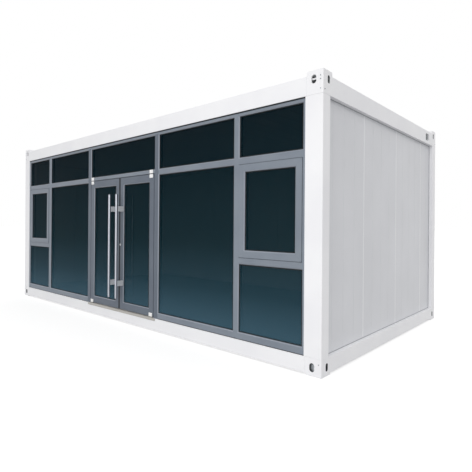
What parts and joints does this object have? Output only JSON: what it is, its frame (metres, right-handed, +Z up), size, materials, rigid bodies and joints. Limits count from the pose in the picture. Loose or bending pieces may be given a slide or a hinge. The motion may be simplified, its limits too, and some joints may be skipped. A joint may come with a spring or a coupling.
{
  "type": "container house",
  "caption": "Flat-pack container house with a white steel frame on corner castings, sandwich panel walls and a fully glazed front with a double swing door.",
  "frame": {"origin": "on the ground, at the middle of the whole box, door pulls included", "axes": "+X along the glazed front to the right as seen from outside, +Y from the front to the back, +Z up"},
  "size_m": [6.6, 3.415, 2.8],
  "materials": {
    "white_steel": "satin white powder coat on steel",
    "wall_panel": "smooth white coated steel skins on a foam core",
    "zinc_steel": "galvanised steel",
    "floor_board": "grey vinyl on a cement board",
    "frame_aluminium": "blue-grey powder coat",
    "tinted_glass": "dark tinted double glazing",
    "pull_steel": "satin brushed",
    "cover_plastic": "smooth white",
    "threshold_strip": "warm grey anodised",
    "inlet_plastic": "moulded grey"
  },
  "bodies": {
    "house": {"top_corner_castings": "white_steel", "bottom_corner_castings": "white_steel", "corner_posts": "white_steel", "front_roof_beam": "white_steel", "back_roof_beam": "white_steel", "end_roof_beams": "white_steel", "front_floor_beam": "white_steel", "back_floor_beam": "white_steel", "end_floor_beams": "white_steel", "roof_sheet": "white_steel", "right_wall_panels": "wall_panel", "left_wall_panels": "wall_panel", "back_wall_panels": "wall_panel", "ceiling_panel": "wall_panel", "floor_joists": "zinc_steel", "floor_deck": "floor_board", "head_frame": "frame_aluminium", "side_jambs": "frame_aluminium", "sill_frames": "frame_aluminium", "door_mullions": "frame_aluminium", "window_mullions": "frame_aluminium", "transoms": "frame_aluminium", "low_transoms": "frame_aluminium", "casement_sashes": "frame_aluminium", "top_light_panes": "tinted_glass", "fixed_panes": "tinted_glass", "low_panes": "tinted_glass", "casement_panes": "tinted_glass", "transom_pivot_covers": "cover_plastic", "door_threshold": "threshold_strip", "power_inlet": "inlet_plastic"},
    "left_door": {"left_door_frame": "frame_aluminium", "left_door_pane": "tinted_glass", "left_door_pulls": "pull_steel", "left_pivot_covers": "cover_plastic"},
    "right_door": {"right_door_frame": "frame_aluminium", "right_door_pane": "tinted_glass", "right_door_pulls": "pull_steel", "right_pivot_covers": "cover_plastic", "door_lock": "pull_steel"}
  },
  "joints": [
    {"name": "left_door_swing", "type": "hinge", "parent": "house", "child": "left_door", "pos_m": [-0.735, -1.5605, 0.182], "axis": [0, 0, -1], "range_deg": [-90, 90]},
    {"name": "right_door_swing", "type": "hinge", "parent": "house", "child": "right_door", "pos_m": [0.735, -1.5605, 0.182], "axis": [0, 0, 1], "range_deg": [-90, 90]}
  ]
}
